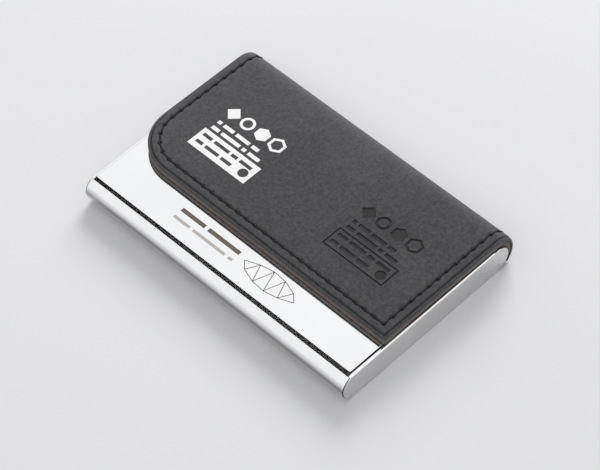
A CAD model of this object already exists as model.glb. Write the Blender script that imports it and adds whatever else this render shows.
"""Looks of the business card case: polished steel, stitched leather cover, plain studio."""

import math

import bpy
from mathutils import Matrix, Vector
from mathutils.kdtree import KDTree


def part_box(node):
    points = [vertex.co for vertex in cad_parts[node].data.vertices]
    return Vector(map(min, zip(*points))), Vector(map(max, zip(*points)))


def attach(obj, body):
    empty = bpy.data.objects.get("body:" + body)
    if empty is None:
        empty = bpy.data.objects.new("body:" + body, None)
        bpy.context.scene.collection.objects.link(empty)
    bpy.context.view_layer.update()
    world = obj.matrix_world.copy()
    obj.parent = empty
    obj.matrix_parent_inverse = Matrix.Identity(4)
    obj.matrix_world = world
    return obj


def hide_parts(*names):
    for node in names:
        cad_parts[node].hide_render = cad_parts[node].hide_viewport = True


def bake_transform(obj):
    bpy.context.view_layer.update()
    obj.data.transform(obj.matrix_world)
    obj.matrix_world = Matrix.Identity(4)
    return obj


MM = 0.001

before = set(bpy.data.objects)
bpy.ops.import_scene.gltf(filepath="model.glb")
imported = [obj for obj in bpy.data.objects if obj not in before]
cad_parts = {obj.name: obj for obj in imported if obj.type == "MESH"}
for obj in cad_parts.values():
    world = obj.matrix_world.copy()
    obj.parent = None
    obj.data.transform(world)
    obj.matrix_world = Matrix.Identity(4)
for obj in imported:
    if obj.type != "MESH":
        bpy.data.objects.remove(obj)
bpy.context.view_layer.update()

# ---- places read from the frame -------------------------------------------------------------
SHELL_LOW, SHELL_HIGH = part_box("base_shell")
LID_LOW, LID_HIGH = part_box("lid_leather")
SPINE_LOW, SPINE_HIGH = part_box("spine_leather")
PLATE_LOW, PLATE_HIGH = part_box("lid_plate")
BOARD_LOW, BOARD_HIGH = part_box("lid_backing")
CAP_LOW, CAP_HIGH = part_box("end_cap_right")

ROLL_R = SHELL_HIGH.z / 2               # outside radius of the tray's rolled edges
ROLL_Y = min(SPINE_LOW.y, SHELL_HIGH.y - ROLL_R)    # the cover starts down the back roll here
LEATHER = LID_HIGH.z - LID_LOW.z        # thickness of the leather
BOARD = BOARD_HIGH.z - BOARD_LOW.z      # thickness of the board under it
TOP = LID_HIGH.z                        # upper face of the cover
SPINE_R = SPINE_HIGH.y - ROLL_Y         # outside radius of the wrapped leather
BOARD_R = SPINE_R - LEATHER             # its inside radius
WRAP_Z = TOP - SPINE_R                  # height of the wrap's centre
WRAP_TURN = math.pi / 2 + math.asin((WRAP_Z - SPINE_LOW.z) / SPINE_R)
NEUTRAL_R = BOARD_R + LEATHER / 2       # radius at which the flat leather keeps its length
CUT_END = ROLL_Y + NEUTRAL_R * WRAP_TURN    # end of the cover, along the flat leather
HINGE_Y = LID_HIGH.y                    # the lid's part of the cover ends here

# ---- the cover's own sizes ------------------------------------------------------------------
SKEW = 0.3 * MM             # the right edge runs in by this much towards the front
FLARE = SPINE_LOW.x - LID_LOW.x     # the left edge runs out by this much towards the front
FRONT_DROP = 0.25 * MM      # the front edge lies this much further back at its left end
CORNER_R = 14.0 * MM        # round front left corner
EDGE_STEP = 0.4 * MM        # spacing of the points along the outline
LOOP_STEP = 0.15 * MM       # spacing of the border's loops
BORDER = 4.65 * MM          # width of the shaped border
CORNER_CLEAR = 5.2 * MM     # outline points keep this far from a square corner
CREASE_IN = 0.95 * MM       # pressed line inside the edge
CREASE_WIDE = 0.22 * MM
CREASE_DEEP = 0.55 * MM
EDGE_SOFT = 0.2 * MM        # how far in the rounded edge reaches
EDGE_DROP = 0.5 * MM        # how far the leather's top falls at its edge
SHOULDER = 0.12 * MM        # the strip outside the crease lies this much lower
SHOULDER_SOFT = 0.08 * MM   # how softly it steps down
BOARD_IN = 0.15 * MM        # board inside the edge of the leather
BOARD_EASE = 0.32 * MM      # eased corners of its cut edge
SEAM_IN = 3.45 * MM         # stitch line inside the front and right edges
SEAM_IN_LEFT = 2.85 * MM    # stitch line inside the left edge
SEAM_WIDE = 0.5 * MM
SEAM_DEEP = 0.15 * MM
PITCH = 3.3 * MM            # from stitch to stitch
STITCH = 3.25 * MM          # visible length of one stitch
STITCH_LEAN = 5             # degrees each stitch slants from the line
THREAD_R = 0.25 * MM
THREAD_OUT = 0.09 * MM      # middle of the thread over the floor of the seam
THREAD_DIP = 0.12 * MM      # ends of a stitch below its middle
HOLE_WIDE = 0.55 * MM       # leather drawn in round each needle hole
HOLE_DEEP = 0.42 * MM
PRESSED_DEEP = 0.25 * MM    # pressed mark
PRESSED_AT = (13.8 * MM, -4.1 * MM)     # its lower left corner
PRINTED_AT = (-35.8 * MM, -4.4 * MM)    # the same, printed mark

# ---- light ----------------------------------------------------------------------------------
ROOM_LIGHT = 0.55           # the room's light on everything matte
ROOM_SEEN = 1.0             # how bright the room looks in the steel


# ---- small helpers --------------------------------------------------------------------------
def clear_selection():
    if bpy.context.mode != "OBJECT":
        bpy.ops.object.mode_set(mode="OBJECT")
    bpy.ops.object.select_all(action="DESELECT")


def pick(piece):
    clear_selection()
    piece.select_set(True)
    bpy.context.view_layer.objects.active = piece


def newest(name):
    """The primitive just added, named and with its place moved into its mesh."""
    piece = bpy.context.object
    piece.name = name
    piece.data.name = name
    bpy.ops.object.transform_apply(location=True, rotation=True, scale=True)
    return piece


def join(pieces, name):
    clear_selection()
    for piece in pieces:
        piece.select_set(True)
    bpy.context.view_layer.objects.active = pieces[0]
    if len(pieces) > 1:
        bpy.ops.object.join()
    pieces[0].name = name
    pieces[0].data.name = name
    return pieces[0]


def smooth(piece, degrees=40):
    pick(piece)
    bpy.ops.object.shade_smooth_by_angle(angle=math.radians(degrees))


def boolean(piece, cutter):
    """Cuts one closed mesh out of another and removes the cutter."""
    pick(piece)
    cut = piece.modifiers.new("cut", "BOOLEAN")
    cut.operation = "DIFFERENCE"
    cut.solver = "EXACT"
    cut.object = cutter
    bpy.ops.object.modifier_apply(modifier=cut.name)
    bpy.data.objects.remove(cutter, do_unlink=True)


def wear(piece, material):
    """Gives a new piece its material and the record's slot."""
    piece.data.materials.clear()
    piece.data.materials.append(material)
    return piece


# ---- materials ------------------------------------------------------------------------------
def blank(name):
    """A new material with its shader and Object coordinates."""
    material = bpy.data.materials.new(name)
    material.use_nodes = True
    nodes = material.node_tree.nodes
    shader = nodes["Principled BSDF"]
    place = nodes.new("ShaderNodeTexCoord")
    return material, shader, place.outputs["Object"]


def stretched(material, place, scale):
    """Object coordinates scaled separately along each axis."""
    mapping = material.node_tree.nodes.new("ShaderNodeMapping")
    mapping.inputs["Scale"].default_value = scale
    material.node_tree.links.new(place, mapping.inputs["Vector"])
    return mapping.outputs["Vector"]


def noise(material, place, scale, detail=3.0, roughness=0.5):
    texture = material.node_tree.nodes.new("ShaderNodeTexNoise")
    texture.inputs["Scale"].default_value = scale
    texture.inputs["Detail"].default_value = detail
    texture.inputs["Roughness"].default_value = roughness
    material.node_tree.links.new(place, texture.inputs["Vector"])
    return texture.outputs["Fac"]


def cells(material, place, scale, feature="F1"):
    texture = material.node_tree.nodes.new("ShaderNodeTexVoronoi")
    texture.feature = feature
    texture.inputs["Scale"].default_value = scale
    material.node_tree.links.new(place, texture.inputs["Vector"])
    return texture.outputs["Distance"]


def ramp(material, value, stops):
    """A colour ramp; each stop is a position and a grey level or a colour."""
    node = material.node_tree.nodes.new("ShaderNodeValToRGB")
    while len(node.color_ramp.elements) < len(stops):
        node.color_ramp.elements.new(0.5)
    for element, (position, colour) in zip(node.color_ramp.elements, stops):
        element.position = position
        rgb = (colour,) * 3 if isinstance(colour, float) else colour
        element.color = (*rgb, 1.0)
    material.node_tree.links.new(value, node.inputs["Fac"])
    return node.outputs["Color"]


def maths(material, operation, first, second):
    node = material.node_tree.nodes.new("ShaderNodeMath")
    node.operation = operation
    for socket, value in zip(node.inputs, (first, second)):
        if isinstance(value, (int, float)):
            socket.default_value = value
        else:
            material.node_tree.links.new(value, socket)
    return node.outputs["Value"]


def bump(material, height, depth, strength=1.0, under=None):
    node = material.node_tree.nodes.new("ShaderNodeBump")
    node.inputs["Strength"].default_value = strength
    node.inputs["Distance"].default_value = depth
    material.node_tree.links.new(height, node.inputs["Height"])
    if under is not None:
        material.node_tree.links.new(under, node.inputs["Normal"])
    return node.outputs["Normal"]


def set_up(material, shader, **inputs):
    """Sets the shader's sockets: a number or colour is written on it, a node's output is linked."""
    for name, value in inputs.items():
        socket = shader.inputs[name.replace("_", " ")]
        if isinstance(value, bpy.types.NodeSocket):
            material.node_tree.links.new(value, socket)
        else:
            socket.default_value = value


def inside_limit(material, value, limit, ease):
    """1 where a value is under a limit, 0 past it, with a short run between."""
    node = material.node_tree.nodes.new("ShaderNodeMapRange")
    node.inputs["From Min"].default_value = limit - ease
    node.inputs["From Max"].default_value = limit + ease
    node.inputs["To Min"].default_value = 1.0
    node.inputs["To Max"].default_value = 0.0
    material.node_tree.links.new(value, node.inputs["Value"])
    return node.outputs["Result"]


def mixed(material, share, first, second):
    """One value or colour where the share is 0, another where it is 1."""
    node = material.node_tree.nodes.new("ShaderNodeMix")
    node.data_type = "RGBA"
    factor, colour_a, colour_b = node.inputs[0], node.inputs[6], node.inputs[7]
    for socket, value in ((factor, share), (colour_a, first), (colour_b, second)):
        if isinstance(value, bpy.types.NodeSocket):
            material.node_tree.links.new(value, socket)
        else:
            socket.default_value = (value, value, value, 1.0)
    return node.outputs[2]


def axes(material, place):
    """Object coordinates as three separate values."""
    split = material.node_tree.nodes.new("ShaderNodeSeparateXYZ")
    material.node_tree.links.new(place, split.inputs["Vector"])
    return split.outputs["X"], split.outputs["Y"], split.outputs["Z"]


def from_middle(material, value):
    return maths(material, "ABSOLUTE", value, 0.0)


def from_roll_line(material, y, z):
    """Distance from the line between the centres of the tray's two rolls."""
    aside = maths(material, "SUBTRACT", from_middle(material, y), ROLL_Y)
    aside = maths(material, "MAXIMUM", aside, 0.0)
    rise = from_middle(material, maths(material, "SUBTRACT", z, ROLL_R))
    squares = [maths(material, "POWER", side, 2) for side in (aside, rise)]
    return maths(material, "SQRT", maths(material, "ADD", *squares), 0.0)


def polished_steel():
    """Mirror-polished plate with a breath of haze and hairline rubbing along the case."""
    material, shader, place = blank("polished_steel")
    haze = noise(material, place, 45, 4)
    hairlines = noise(material, stretched(material, place, (30, 1600, 1600)), 1, 2)
    set_up(
        material,
        shader,
        Base_Color=ramp(material, haze, [(0.3, 0.88), (0.7, 0.93)]),
        Metallic=1.0,
        Roughness=ramp(material, haze, [(0.3, 0.05), (0.7, 0.1)]),
        Normal=bump(material, hairlines, 0.000002, 0.35),
    )
    return material


def tray_steel():
    """Polished on top, drawn darker down the roll and underneath, dull mill finish inside."""
    material, shader, place = blank("tray_steel")
    x, y, height = axes(material, place)
    dull = inside_limit(material, from_roll_line(material, y, height), ROLL_R - 0.3 * MM, 0.05 * MM)
    sheet = inside_limit(material, from_middle(material, x), SHELL_HIGH.x - 0.04 * MM, 0.02 * MM)
    cut_end = maths(material, "SUBTRACT", 1.0, sheet)
    haze = noise(material, place, 60, 4)
    drawn = noise(material, stretched(material, place, (60, 2600, 2600)), 1, 3)
    rise = maths(material, "MULTIPLY", height, 1 / SHELL_HIGH.z)
    below = [(0.2, 0.6), (0.42, 0.7), (0.5, 0.48), (0.55, 0.36)]
    above = [(0.59, 0.4), (0.63, 0.52), (0.67, 0.69), (0.74, 0.87)]
    outside = ramp(material, rise, below + above)
    inside = ramp(material, haze, [(0.3, 0.88), (0.7, 0.92)])
    colour = mixed(material, cut_end, mixed(material, dull, outside, inside), 0.04)
    rough = mixed(material, dull, ramp(material, haze, [(0.3, 0.19), (0.7, 0.25)]), 0.75)
    set_up(
        material,
        shader,
        Base_Color=colour,
        Metallic=1.0,
        Roughness=rough,
        Normal=bump(material, drawn, 0.000004, 0.4),
    )
    return material


def satin_steel():
    """End cap: fine satin face, polished rim beside the lid, raw inside the seam."""
    material, shader, place = blank("satin_steel")
    x, _, height = axes(material, place)
    length = from_middle(material, x)
    inner = inside_limit(material, length, CAP_HIGH.x - 0.12 * MM, 0.06 * MM)
    low = inside_limit(material, height, CAP_HIGH.z - 0.7 * MM, 0.02 * MM)
    raw = maths(material, "MULTIPLY", inner, low)
    behind = inside_limit(material, length, CAP_HIGH.x - 0.8 * MM, 0.03 * MM)
    grain = noise(material, stretched(material, place, (2500, 500, 2500)), 1, 3)
    cloud = noise(material, place, 60, 3)
    face = ramp(material, cloud, [(0.3, 0.65), (0.7, 0.71)])
    rim = ramp(material, cloud, [(0.3, 0.9), (0.7, 0.95)])
    satin = ramp(material, cloud, [(0.3, 0.26), (0.7, 0.34)])
    outside = mixed(material, raw, mixed(material, inner, face, rim), 0.05)
    set_up(
        material,
        shader,
        Base_Color=mixed(material, behind, outside, 0.6),
        Metallic=1.0,
        Roughness=mixed(material, behind, mixed(material, inner, satin, 0.12), 0.45),
        Normal=bump(material, grain, 0.000006, 0.4),
    )
    return material


def nickel_magnet():
    material, shader, place = blank("nickel_magnet")
    cloud = noise(material, place, 400, 4)
    set_up(
        material,
        shader,
        Base_Color=ramp(material, cloud, [(0.3, 0.5), (0.7, 0.62)]),
        Metallic=1.0,
        Roughness=ramp(material, cloud, [(0.3, 0.22), (0.7, 0.4)]),
    )
    return material


def black_leather():
    """Fine-grained coated leather, charcoal, a little paler towards the spine and the left."""
    material, shader, place = blank("black_leather")
    pebbles = cells(material, place, 1900, "SMOOTH_F1")
    folds = noise(material, stretched(material, place, (700, 1100, 900)), 1, 4, 0.6)
    cloud = noise(material, place, 55, 4, 0.55)
    speck = noise(material, place, 1300, 3, 0.6)
    x, y, _ = axes(material, place)
    near_spine = maths(material, "SUBTRACT", 1.0, inside_limit(material, y, 22 * MM, 9 * MM))
    to_left = inside_limit(material, x, -12 * MM, 34 * MM)
    tone = maths(material, "MULTIPLY", cloud, 0.25)
    for value, share in ((speck, 0.55), (near_spine, 0.07), (to_left, 0.09)):
        tone = maths(material, "ADD", tone, maths(material, "MULTIPLY", value, share))
    fine = bump(material, folds, 0.00012, 0.5)
    charcoal = [(0.33, (0.024, 0.024, 0.026)), (0.6, (0.08, 0.08, 0.084))]
    set_up(
        material,
        shader,
        Base_Color=ramp(material, tone, charcoal),
        Roughness=ramp(material, cloud, [(0.3, 0.5), (0.7, 0.6)]),
        Specular_IOR_Level=0.5,
        Normal=bump(material, pebbles, 0.00008, 0.5, under=fine),
    )
    return material


def pressed_leather():
    """The same leather where the hot die flattened it: darker and smoother."""
    material, shader, place = blank("pressed_leather")
    cloud = noise(material, place, 300, 3)
    pores = noise(material, place, 4000, 2)
    set_up(
        material,
        shader,
        Base_Color=ramp(material, cloud, [(0.3, 0.016), (0.7, 0.026)]),
        Roughness=0.55,
        Specular_IOR_Level=0.4,
        Normal=bump(material, pores, 0.00001, 0.3),
    )
    return material


def board_edge():
    """Cut edge of the brown fibre board, in thin layers, dark with glue where it meets the lid."""
    material, shader, place = blank("board_edge")
    browns = [(0.3, (0.09, 0.077, 0.069)), (0.5, (0.15, 0.129, 0.116)), (0.7, (0.22, 0.192, 0.175))]
    _, _, height = axes(material, place)
    over_joint = maths(material, "SUBTRACT", height, BOARD_LOW.z + 0.02 * MM)
    glued = inside_limit(material, from_middle(material, over_joint), 0.2 * MM, 0.14 * MM)
    layers = noise(material, stretched(material, place, (400, 400, 3600)), 1, 3)
    fibres = noise(material, place, 1800, 5, 0.65)
    halves = [maths(material, "MULTIPLY", value, 0.5) for value in (layers, fibres)]
    tone = maths(material, "ADD", *halves)
    set_up(
        material,
        shader,
        Base_Color=mixed(material, glued, ramp(material, tone, browns), 0.012),
        Roughness=0.75,
        Specular_IOR_Level=0.3,
        Normal=bump(material, fibres, 0.00004, 0.6),
    )
    return material


def black_thread():
    """Waxed polyester thread."""
    material, shader, place = blank("black_thread")
    fuzz = noise(material, place, 9000, 2)
    set_up(
        material,
        shader,
        Base_Color=ramp(material, fuzz, [(0.3, 0.006), (0.7, 0.014)]),
        Roughness=0.6,
        Specular_IOR_Level=0.35,
        Normal=bump(material, fuzz, 0.00002, 0.5),
    )
    return material


def white_ink():
    """Printed ink, a little broken where it crosses the leather's pores."""
    material, shader, place = blank("white_ink")
    pores = noise(material, place, 4200, 3)
    whites = [(0.3, (0.85, 0.85, 0.845)), (0.5, (0.97, 0.97, 0.965))]
    set_up(
        material,
        shader,
        Base_Color=ramp(material, pores, whites),
        Roughness=0.55,
        Normal=bump(material, pores, 0.00001, 0.3),
    )
    return material


def marked_steel(name, dark, light):
    """Steel toned by the laser."""
    material, shader, place = blank(name)
    grain = noise(material, place, 5000, 2)
    set_up(
        material,
        shader,
        Base_Color=ramp(material, grain, [(0.3, dark), (0.7, light)]),
        Metallic=0.2,
        Roughness=0.6,
    )
    return material


def table_top():
    material, shader, place = blank("table_top")
    cloud = noise(material, place, 3, 2)
    set_up(
        material,
        shader,
        Base_Color=ramp(material, cloud, [(0.3, (0.8, 0.8, 0.81)), (0.7, (0.83, 0.83, 0.84))]),
        Roughness=0.7,
    )
    return material


# ---- the cover, laid out flat ---------------------------------------------------------------
def border_height(inside):
    """Height of the leather's top above its underside, at a distance inside the edge."""
    edge = EDGE_DROP * math.exp(-inside / EDGE_SOFT)
    shoulder = SHOULDER / (1 + math.exp((inside - CREASE_IN) / SHOULDER_SOFT))
    return LEATHER - edge - shoulder - crease_depth(inside)


def crease_depth(inside):
    return CREASE_DEEP * math.exp(-(((inside - CREASE_IN) / CREASE_WIDE) ** 2))


def fade_crease(piece):
    """The pressed line fades out round the rounded corner: the left side has none."""
    centre = Vector((left_edge(LID_LOW.y) + CORNER_R, LID_LOW.y + FRONT_DROP + CORNER_R))
    fade = CORNER_R / 2
    for point in piece.data.vertices:
        x, y = point.co.xy
        if x < centre.x:
            inside = CORNER_R - (point.co.xy - centre).length
            if y > centre.y:
                inside = x - left_edge(y)
            share = min(1, max(0, (y - centre.y + fade) / fade))
            point.co.z += share * crease_depth(inside)


def left_edge(along):
    """Where the cover's left edge runs, at a place from front to back."""
    return LID_LOW.x + FLARE * (along - LID_LOW.y) / (HINGE_Y - LID_LOW.y)


def right_edge(along):
    return SPINE_HIGH.x - SKEW + SKEW * (along - LID_LOW.y) / (HINGE_Y - LID_LOW.y)


def flat_blank(name, inset):
    """Outline of the cover laid flat, past its cut end, as one face with even points along it."""
    front = LID_LOW.y + inset
    tail = CUT_END + 2 * BORDER
    bpy.ops.mesh.primitive_plane_add(size=1)
    blank_sheet = newest(name)
    corners = {
        (-1, -1): (left_edge(front) + inset, front + FRONT_DROP),
        (1, -1): (right_edge(front) - inset, front),
        (1, 1): (right_edge(tail) - inset, tail),
        (-1, 1): (left_edge(tail) + inset, tail),
    }
    for point in blank_sheet.data.vertices:
        side = (1 if point.co.x > 0 else -1, 1 if point.co.y > 0 else -1)
        point.co.x, point.co.y = corners[side]
    round_corner(blank_sheet, CORNER_R - inset)
    even_outline(blank_sheet, [place for side, place in corners.items() if side != (-1, -1)])
    return blank_sheet


def round_corner(sheet_piece, radius):
    """Rounds the front left corner of a flat sheet."""
    pick(sheet_piece)
    corner = min(sheet_piece.data.vertices, key=lambda p: p.co.x + p.co.y).index
    bpy.ops.object.mode_set(mode="EDIT")
    bpy.ops.mesh.select_all(action="DESELECT")
    bpy.ops.object.mode_set(mode="OBJECT")
    sheet_piece.data.vertices[corner].select = True
    bpy.ops.object.mode_set(mode="EDIT")
    bpy.ops.mesh.select_mode(type="VERT")
    segments = max(4, round(radius * math.pi / 2 / EDGE_STEP))
    bpy.ops.mesh.bevel(offset=radius, segments=segments, affect="VERTICES", profile=0.5)
    bpy.ops.object.mode_set(mode="OBJECT")


def even_outline(sheet_piece, corners):
    """Divides the long straight sides of a flat sheet, away from its corners, and fills it again."""
    pick(sheet_piece)
    bpy.ops.object.mode_set(mode="EDIT")
    bpy.ops.mesh.select_all(action="SELECT")
    bpy.ops.mesh.delete(type="ONLY_FACE")
    bpy.ops.mesh.select_mode(type="EDGE")
    cuts = 1
    while cuts:
        bpy.ops.mesh.select_all(action="DESELECT")
        bpy.ops.object.mode_set(mode="OBJECT")
        mesh = sheet_piece.data
        cuts = 0
        for edge in mesh.edges:
            first, second = (mesh.vertices[i].co for i in edge.vertices)
            if (first - second).length > 2 * EDGE_STEP:
                edge.select = True
                cuts = round((first - second).length / EDGE_STEP) - 1
                break
        bpy.ops.object.mode_set(mode="EDIT")
        if cuts:
            bpy.ops.mesh.subdivide(number_cuts=cuts)
    bpy.ops.object.mode_set(mode="OBJECT")
    for corner in corners:
        for point in sheet_piece.data.vertices:
            point.select = 0 < (point.co.xy - Vector(corner)).length < CORNER_CLEAR
        bpy.ops.object.mode_set(mode="EDIT")
        bpy.ops.mesh.select_mode(type="VERT")
        bpy.ops.mesh.dissolve_verts()
        bpy.ops.mesh.select_all(action="DESELECT")
        bpy.ops.object.mode_set(mode="OBJECT")
    bpy.ops.object.mode_set(mode="EDIT")
    bpy.ops.mesh.select_all(action="SELECT")
    bpy.ops.mesh.edge_face_add()
    bpy.ops.object.mode_set(mode="OBJECT")
    if sheet_piece.data.polygons[0].normal.z < 0:
        bpy.ops.object.mode_set(mode="EDIT")
        bpy.ops.mesh.flip_normals()
        bpy.ops.object.mode_set(mode="OBJECT")


def divide_corner(piece):
    """Cuts the long faces at the square front corner as finely as the rest of the border."""
    pick(piece)
    corner = Vector((right_edge(LID_LOW.y), LID_LOW.y))
    cuts = round(CORNER_CLEAR / EDGE_STEP)
    for number in range(1, cuts):
        for place, across in (
            ((corner.x - number * EDGE_STEP, 0, 0), (1, 0, 0)),
            ((0, corner.y + number * EDGE_STEP, 0), (0, 1, 0)),
        ):
            for face in piece.data.polygons:
                away = Vector(face.center.xy) - corner
                near = max(abs(away.x), abs(away.y)) < 1.2 * CORNER_CLEAR
                face.select = near and len(face.vertices) < 9
            bpy.ops.object.mode_set(mode="EDIT")
            bpy.ops.mesh.select_mode(type="FACE")
            bpy.ops.mesh.bisect(plane_co=place, plane_no=across)
            bpy.ops.object.mode_set(mode="OBJECT")


def cut_tail_and_rows(sheet_piece):
    """Ends the flat sheet at its cut end, and cuts the rows at which it will bend."""
    pick(sheet_piece)
    bpy.ops.object.mode_set(mode="EDIT")
    bpy.ops.mesh.select_all(action="SELECT")
    across = {"plane_no": (0, 1, 0)}
    bpy.ops.mesh.bisect(plane_co=(0, CUT_END, 0), clear_outer=True, use_fill=True, **across)
    rows = round((CUT_END - HINGE_Y) / EDGE_STEP)
    for row in range(rows):
        line = HINGE_Y + (CUT_END - HINGE_Y) * row / rows
        bpy.ops.mesh.select_all(action="SELECT")
        bpy.ops.mesh.bisect(plane_co=(0, line, 0), **across)
    bpy.ops.mesh.select_all(action="SELECT")
    bpy.ops.mesh.remove_doubles(threshold=0.00001)
    bpy.ops.mesh.normals_make_consistent(inside=False)
    bpy.ops.object.mode_set(mode="OBJECT")


def wrap(piece, radius_at):
    """Lays a flat piece on the lid and round the back roll; its z is the height over the board.

    radius_at gives the radius round the roll for a turn and a height.
    """
    for point in piece.data.vertices:
        x, along, up = point.co
        if along <= ROLL_Y:
            point.co = (x, along, TOP - LEATHER + up)
            continue
        turn = (along - ROLL_Y) / NEUTRAL_R
        radius = radius_at(turn, up)
        point.co = (x, ROLL_Y + radius * math.sin(turn), WRAP_Z + radius * math.cos(turn))


def leather_radius(turn, up):
    return BOARD_R + up


def board_radius(turn, up):
    """The board thins out round the roll: its inner face lies on the steel."""
    rise = WRAP_Z - ROLL_R
    to_steel = math.sqrt(ROLL_R**2 - (rise * math.sin(turn)) ** 2) - rise * math.cos(turn)
    steel = to_steel + 0.03 * MM
    return BOARD_R + (BOARD_R - steel) * up / BOARD


def seam_path():
    """Points of the stitch line on the flat leather: the start of each stitch and the last end."""
    front = LID_LOW.y + SEAM_IN
    tail = CUT_END - 1.2 * PITCH
    radius = CORNER_R - (SEAM_IN + SEAM_IN_LEFT) / 2
    centre = Vector((left_edge(front) + SEAM_IN_LEFT + radius, front + FRONT_DROP + radius, 0))
    corner = [
        centre - radius * Vector((math.cos(turn), math.sin(turn), 0))
        for turn in (math.pi / 2 * step / 24 for step in range(25))
    ]
    line = [Vector((left_edge(tail) + SEAM_IN_LEFT, tail, 0)), *corner]
    turning_point = Vector((right_edge(front) - SEAM_IN, front, 0))
    line_end = Vector((right_edge(tail) - SEAM_IN, tail, 0))
    first = evenly(line + [turning_point])
    second = evenly([turning_point, line_end])
    return first, second


def evenly(line):
    """Points a stitch pitch apart along a line of points, both ends kept."""
    lengths = [(b - a).length for a, b in zip(line, line[1:])]
    total = sum(lengths)
    count = round(total / PITCH)
    points = []
    for number in range(count + 1):
        rest = total * number / count
        for a, b, length in zip(line, line[1:], lengths):
            if rest <= length or b is line[-1]:
                points.append(a.lerp(b, min(1.0, rest / length)))
                break
            rest -= length
    return points


def sink_seam(piece, lines):
    """Draws the leather down along the seam and in round each needle hole."""
    stitches = [ends for line in lines for ends in zip(line, line[1:])]
    groove = near_points([a.lerp(b, t / 10) for a, b in stitches for t in range(11)])
    holes = near_points([point for line in lines for point in line])
    for point in piece.data.vertices:
        if point.co.z < LEATHER / 2:
            continue
        place = (point.co.x, point.co.y, 0)
        from_seam, from_hole = groove.find(place)[2], holes.find(place)[2]
        point.co.z -= SEAM_DEEP * math.exp(-((from_seam / SEAM_WIDE) ** 2))
        point.co.z -= HOLE_DEEP * math.exp(-((from_hole / HOLE_WIDE) ** 2))


def near_points(points):
    tree = KDTree(len(points))
    for number, point in enumerate(points):
        tree.insert(point, number)
    tree.balance()
    return tree


def raise_faces(height):
    bpy.ops.mesh.extrude_region_move(TRANSFORM_OT_translate={"value": (0, 0, height)})


def leather_cover(material):
    """The whole leather cover: rounded edge, pressed crease, sunk seam, pressed motif."""
    cover = flat_blank("leather_cover", 0)
    pick(cover)
    bpy.ops.object.mode_set(mode="EDIT")
    bpy.ops.mesh.select_mode(type="FACE")
    bpy.ops.mesh.select_all(action="SELECT")
    for share in (0.6, 0.4):
        raise_faces(border_height(0) * share)
    for loop in range(round(BORDER / LOOP_STEP)):
        here, there = border_height(loop * LOOP_STEP), border_height((loop + 1) * LOOP_STEP)
        bpy.ops.mesh.inset(thickness=LOOP_STEP, depth=there - here, use_even_offset=True)
    bpy.ops.object.mode_set(mode="OBJECT")
    divide_corner(cover)
    fade_crease(cover)
    sink_seam(cover, seam_path())
    cut_tail_and_rows(cover)
    wrap(cover, leather_radius)
    smooth(cover, 50)
    wear(cover, material)
    return cover


def ease_board():
    """Rounds off the board round the faces that are selected."""
    bpy.ops.mesh.inset(thickness=BOARD_EASE / 2, depth=BOARD_EASE * 0.7)
    bpy.ops.mesh.inset(thickness=BOARD_EASE, depth=BOARD_EASE * 0.3)


def board(material):
    """The board under the leather, its cut edge showing all round, with both corners eased."""
    piece = flat_blank("cover_board", BOARD_IN)
    pick(piece)
    bpy.ops.object.mode_set(mode="EDIT")
    bpy.ops.mesh.select_mode(type="FACE")
    bpy.ops.mesh.select_all(action="SELECT")
    bpy.ops.transform.translate(value=(0, 0, -BOARD + BOARD_EASE))
    raise_faces(BOARD - 2 * BOARD_EASE)
    ease_board()
    bpy.ops.object.mode_set(mode="OBJECT")
    for face in piece.data.polygons:
        face.select = face.normal.z < -0.9
    bpy.ops.object.mode_set(mode="EDIT")
    ease_board()
    bpy.ops.object.mode_set(mode="OBJECT")
    cut_tail_and_rows(piece)
    wrap(piece, board_radius)
    smooth(piece, 50)
    wear(piece, material)
    return piece


def one_stitch():
    """A short length of two-ply thread, its ends swelling where they turn into the holes."""
    lying = {"rotation": (0, math.pi / 2, 0)}
    bpy.ops.mesh.primitive_cylinder_add(vertices=8, radius=THREAD_R, depth=STITCH, **lying)
    stitch = newest("stitch")
    bpy.ops.object.mode_set(mode="EDIT")
    for part in range(1, 8):
        bpy.ops.mesh.select_all(action="SELECT")
        bpy.ops.mesh.bisect(plane_co=(STITCH * (part / 8 - 0.5), 0, 0), plane_no=(1, 0, 0))
    bpy.ops.object.mode_set(mode="OBJECT")
    for point in stitch.data.vertices:
        reach = abs(point.co.x) / (STITCH / 2)
        round_thread = math.atan2(point.co.z, point.co.y)
        ply = math.cos(2 * round_thread - point.co.x / STITCH * 4 * math.pi)
        swell = (1 + 0.16 * ply) * (0.8 + 0.9 * reach**6)
        point.co.y *= swell
        point.co.z = point.co.z * swell - THREAD_DIP * reach**3
    return stitch


def stitching(material):
    """The seam: slightly slanted stitches along the flat leather, wrapped with it."""
    model = one_stitch()
    copies = []
    lean = math.radians(STITCH_LEAN)
    lift = LEATHER - SEAM_DEEP + THREAD_OUT
    for line in seam_path():
        for start, end in zip(line, line[1:]):
            along = end - start
            copy = model.copy()
            copy.data = model.data.copy()
            bpy.context.collection.objects.link(copy)
            turn = Matrix.Rotation(math.atan2(along.y, along.x) + lean, 4, "Z")
            middle = Matrix.Translation((start + end) / 2 + Vector((0, 0, lift)))
            copy.data.transform(middle @ turn)
            copies.append(copy)
    bpy.data.objects.remove(model, do_unlink=True)
    seam = join(copies, "cover_stitching")
    wrap(seam, leather_radius)
    smooth(seam, 60)
    wear(seam, material)
    return seam


# ---- printed, pressed and engraved marks: plain shapes only ----------------------------------
def darken_pressed(cover, material):
    """The hot die leaves the floor and walls of the pressed mark darker and smoother."""
    cover.data.materials.append(material)
    left, front = PRESSED_AT
    for face in cover.data.polygons:
        x, y, z = face.center
        on_mark = -MM < x - left < 22.2 * MM and -MM < y - front < 20.1 * MM
        if on_mark and TOP - 1.1 * PRESSED_DEEP < z < TOP - 0.05 * MM:
            face.material_index = 1


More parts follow.
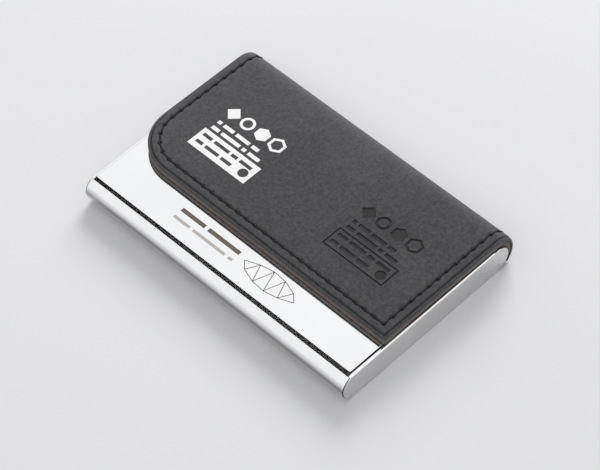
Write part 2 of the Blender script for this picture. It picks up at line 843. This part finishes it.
def bar(x, y, long, wide, low, high, turn=0.0):
    """A flat rectangular mark."""
    middle = (x, y, (low + high) / 2)
    sides = (long, wide, high - low)
    bpy.ops.mesh.primitive_cube_add(size=1, location=middle, rotation=(0, 0, turn), scale=sides)
    return newest("bar")


def disc(x, y, radius, low, high, sides=40):
    size = {"vertices": sides, "radius": radius, "depth": high - low}
    bpy.ops.mesh.primitive_cylinder_add(location=(x, y, (low + high) / 2), **size)
    return newest("disc")


def ring(x, y, radius, line, low, high, sides=40):
    """A disc with a smaller disc cut out of it."""
    outer = disc(x, y, radius, low, high, sides)
    boolean(outer, disc(x, y, radius - line, low - MM, high + MM, sides))
    return outer


def dashes(x, y, long, wide, pattern, gap, low, high):
    """A row of bars that fills a length; pattern gives their shares of it."""
    share = (long - gap * (len(pattern) - 1)) / sum(pattern)
    row = []
    for part in pattern:
        size = part * share
        row.append(bar(x + size / 2, y, size, wide, low, high))
        x += size + gap
    return row


def motif(name, x, y, low, high, framed=False):
    """Plain panel of bars with a row of simple shapes over it, from its lower left corner.

    The panel is solid with the bars left out of it, or framed: an outline round the bars.
    """
    wide, panel_high, line, gap = 21.0 * MM, 6.9 * MM, 0.45 * MM, 0.9 * MM
    cutter = (low - MM, high + MM)
    inner = (low, high) if framed else cutter
    middle = (x + wide / 2, y + panel_high / 2)
    start = x + 1.2 * MM
    panel = bar(*middle, wide, panel_high, low, high)
    bars = dashes(start, y + 5.0 * MM, wide - 3 * MM, 1.1 * MM, (3, 5, 2, 4), gap, *inner)
    bars += dashes(start, y + 2.2 * MM, wide - 8 * MM, 1.1 * MM, (2, 4, 3), gap, *inner)
    bars.append(disc(x + wide - 2.6 * MM, y + 2.6 * MM, 1.5 * MM, *inner))
    if framed:
        boolean(panel, bar(*middle, wide - 2 * line, panel_high - 2 * line, *cutter))
        marks = [panel, *bars]
    else:
        boolean(panel, join(bars, "bars"))
        marks = [panel]
    marks += dashes(x + MM, y + 8.4 * MM, wide * 0.84, 1.2 * MM, (2, 5, 1, 3), gap, low, high)
    marks += dashes(x + MM, y + 10.8 * MM, wide * 0.72, 1.2 * MM, (1, 3, 4, 2), gap, low, high)
    row = y + 15.6 * MM
    marks.append(bar(x + 2.2 * MM, row, 3.4 * MM, 3.4 * MM, low, high, math.pi / 4))
    marks.append(ring(x + 7.4 * MM, row, 2.2 * MM, 0.8 * MM, low, high))
    marks.append(disc(x + 12.9 * MM, row, 2.4 * MM, low, high, 6))
    marks.append(ring(x + 18.3 * MM, row, 2.7 * MM, 0.9 * MM, low, high, 6))
    return join(marks, name)


def facets(name, x, y, long, high_side, line, low, high):
    """A plain zigzag of thin lines between two curved rails, tapering to both ends."""
    steps = 9
    points = []
    for step in range(steps + 1):
        spread = high_side / 2 * math.sin(math.pi * (step + 0.6) / (steps + 1.2))
        points.append(Vector((x + long * step / steps, y + spread * (-1) ** step, 0)))
    pairs = list(zip(points, points[1:])) + list(zip(points, points[2:]))
    lines = []
    for start, end in pairs:
        middle, along = (start + end) / 2, end - start
        turn = math.atan2(along.y, along.x)
        lines.append(bar(middle.x, middle.y, along.length, line, low, high, turn))
    return join(lines, name)


def engraving(material_dark, material_light):
    """Laser marks on the bare strip of the lid plate: two rows of bars and a lattice."""
    face, front = PLATE_HIGH.z, PLATE_LOW.y
    layer = (face + 0.004 * MM, face + 0.012 * MM)
    row, gap = 21.5 * MM, 1.2 * MM
    bold = dashes(-22 * MM, front + 7.9 * MM, row, 1.3 * MM, (3, 4), gap, *layer)
    bold = wear(join(bold, "engraved_bold"), material_dark)
    fine = dashes(-22 * MM, front + 4.9 * MM, row, 0.9 * MM, (4, 8, 1), gap, *layer)
    fine = wear(join(fine, "engraved_fine"), material_light)
    place = (1.8 * MM, front + 6.6 * MM)
    lattice = facets("engraved_lattice", *place, 19 * MM, 6.5 * MM, 0.22 * MM, *layer)
    wear(lattice, material_dark)
    return bold, fine, lattice


# ---- studio ---------------------------------------------------------------------------------
def studio():
    bpy.ops.mesh.primitive_plane_add(size=6, location=(0, 0, -0.02 * MM))
    floor = newest("floor")
    floor.data.materials.append(table_top())

    bpy.context.scene.world = surroundings()
    softbox("key_softbox", (-0.46, 0.83, 0.62), 0.6, 9.2)
    softbox("side_softbox", (0.5, -0.7, 0.8), 0.5, 1.0)


def surroundings():
    """Pale room: one level for its light, a brighter one where it is seen or mirrored."""
    world = bpy.data.worlds.new("surroundings")
    world.use_nodes = True
    nodes, links = world.node_tree.nodes, world.node_tree.links
    background = nodes["Background"]
    background.inputs["Color"].default_value = (0.985, 0.99, 1.0, 1)
    rays = nodes.new("ShaderNodeLightPath")
    seen = nodes.new("ShaderNodeMath")
    seen.operation = "MAXIMUM"
    level = nodes.new("ShaderNodeMapRange")
    level.inputs["To Min"].default_value = ROOM_LIGHT
    level.inputs["To Max"].default_value = ROOM_SEEN
    links.new(rays.outputs["Is Camera Ray"], seen.inputs[0])
    links.new(rays.outputs["Is Glossy Ray"], seen.inputs[1])
    links.new(seen.outputs["Value"], level.inputs["Value"])
    links.new(level.outputs["Result"], background.inputs["Strength"])
    return world


def softbox(name, place, size, power):
    """Large soft lamp aimed at the case; the steel mirrors the room and not the lamp."""
    lamp = bpy.data.lights.new(name, "AREA")
    lamp.shape = "SQUARE"
    lamp.size = size
    lamp.energy = power
    holder = bpy.data.objects.new(name, lamp)
    bpy.context.collection.objects.link(holder)
    holder.location = place
    holder.rotation_euler = (-Vector(place)).to_track_quat("-Z", "Y").to_euler()
    holder.visible_glossy = False


def camera():
    """Three-quarter view from the right front, high up."""
    azimuth, elevation, roll = math.radians(44.68), math.radians(51.76), math.radians(-0.77)
    distance, shift_right, shift_up = 750.3 * MM, 1.27 * MM, -0.59 * MM
    level = Vector((math.sin(azimuth), -math.cos(azimuth), 0))
    back = math.cos(elevation) * level + math.sin(elevation) * Vector((0, 0, 1))
    right = Vector((math.cos(azimuth), math.sin(azimuth), 0))
    up = back.cross(right)
    level_right = math.cos(roll) * right + math.sin(roll) * up
    level_up = math.cos(roll) * up - math.sin(roll) * right
    lens = bpy.data.cameras.new("camera")
    lens.lens = 169.4
    lens.sensor_width = 36
    lens.clip_start, lens.clip_end = 0.01, 20
    holder = bpy.data.objects.new("camera", lens)
    bpy.context.collection.objects.link(holder)
    place = level_right * shift_right + level_up * shift_up + back * distance
    turned = Matrix((level_right, level_up, back)).transposed().to_4x4()
    holder.matrix_world = Matrix.Translation(place) @ turned
    bpy.context.scene.camera = holder


# ---- putting it together --------------------------------------------------------------------
def main():
    """Finishes the steel, makes the cover with its marks, and sets up the studio."""
    bpy.context.scene.view_settings.view_transform = "Standard"
    steel, satin, nickel = polished_steel(), satin_steel(), nickel_magnet()
    finishes = {
        "base_shell": tray_steel(),
        "lid_plate": steel,
        "end_cap_left": satin,
        "end_cap_right": satin,
        "magnet_left": nickel,
        "magnet_right": nickel,
    }
    for node, material in finishes.items():
        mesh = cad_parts[node].data
        mesh.materials.clear()
        mesh.materials.append(material)
    clear_selection()

    cover = leather_cover(black_leather())
    pressed = motif("pressed", *PRESSED_AT, TOP - PRESSED_DEEP, TOP + MM, framed=True)
    boolean(cover, pressed)
    darken_pressed(cover, pressed_leather())
    smooth(cover, 50)
    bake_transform(cover)
    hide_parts("lid_leather", "hinge_leather", "spine_leather")

    under = board(board_edge())
    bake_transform(under)
    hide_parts("lid_backing", "hinge_backing", "spine_backing")

    seam = stitching(black_thread())
    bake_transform(seam)
    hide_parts("lid_stitching", "hinge_stitching", "spine_stitching")

    print_mark = motif("printed_mark", *PRINTED_AT, TOP + 0.002 * MM, TOP + 0.02 * MM)
    wear(print_mark, white_ink())
    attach(print_mark, "lid")

    dark = marked_steel("laser_dark", (0.12, 0.1, 0.08), (0.2, 0.17, 0.14))
    light = marked_steel("laser_light", (0.45, 0.43, 0.41), (0.55, 0.53, 0.5))
    for mark in engraving(dark, light):
        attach(mark, "lid")

    studio()
    camera()


main()
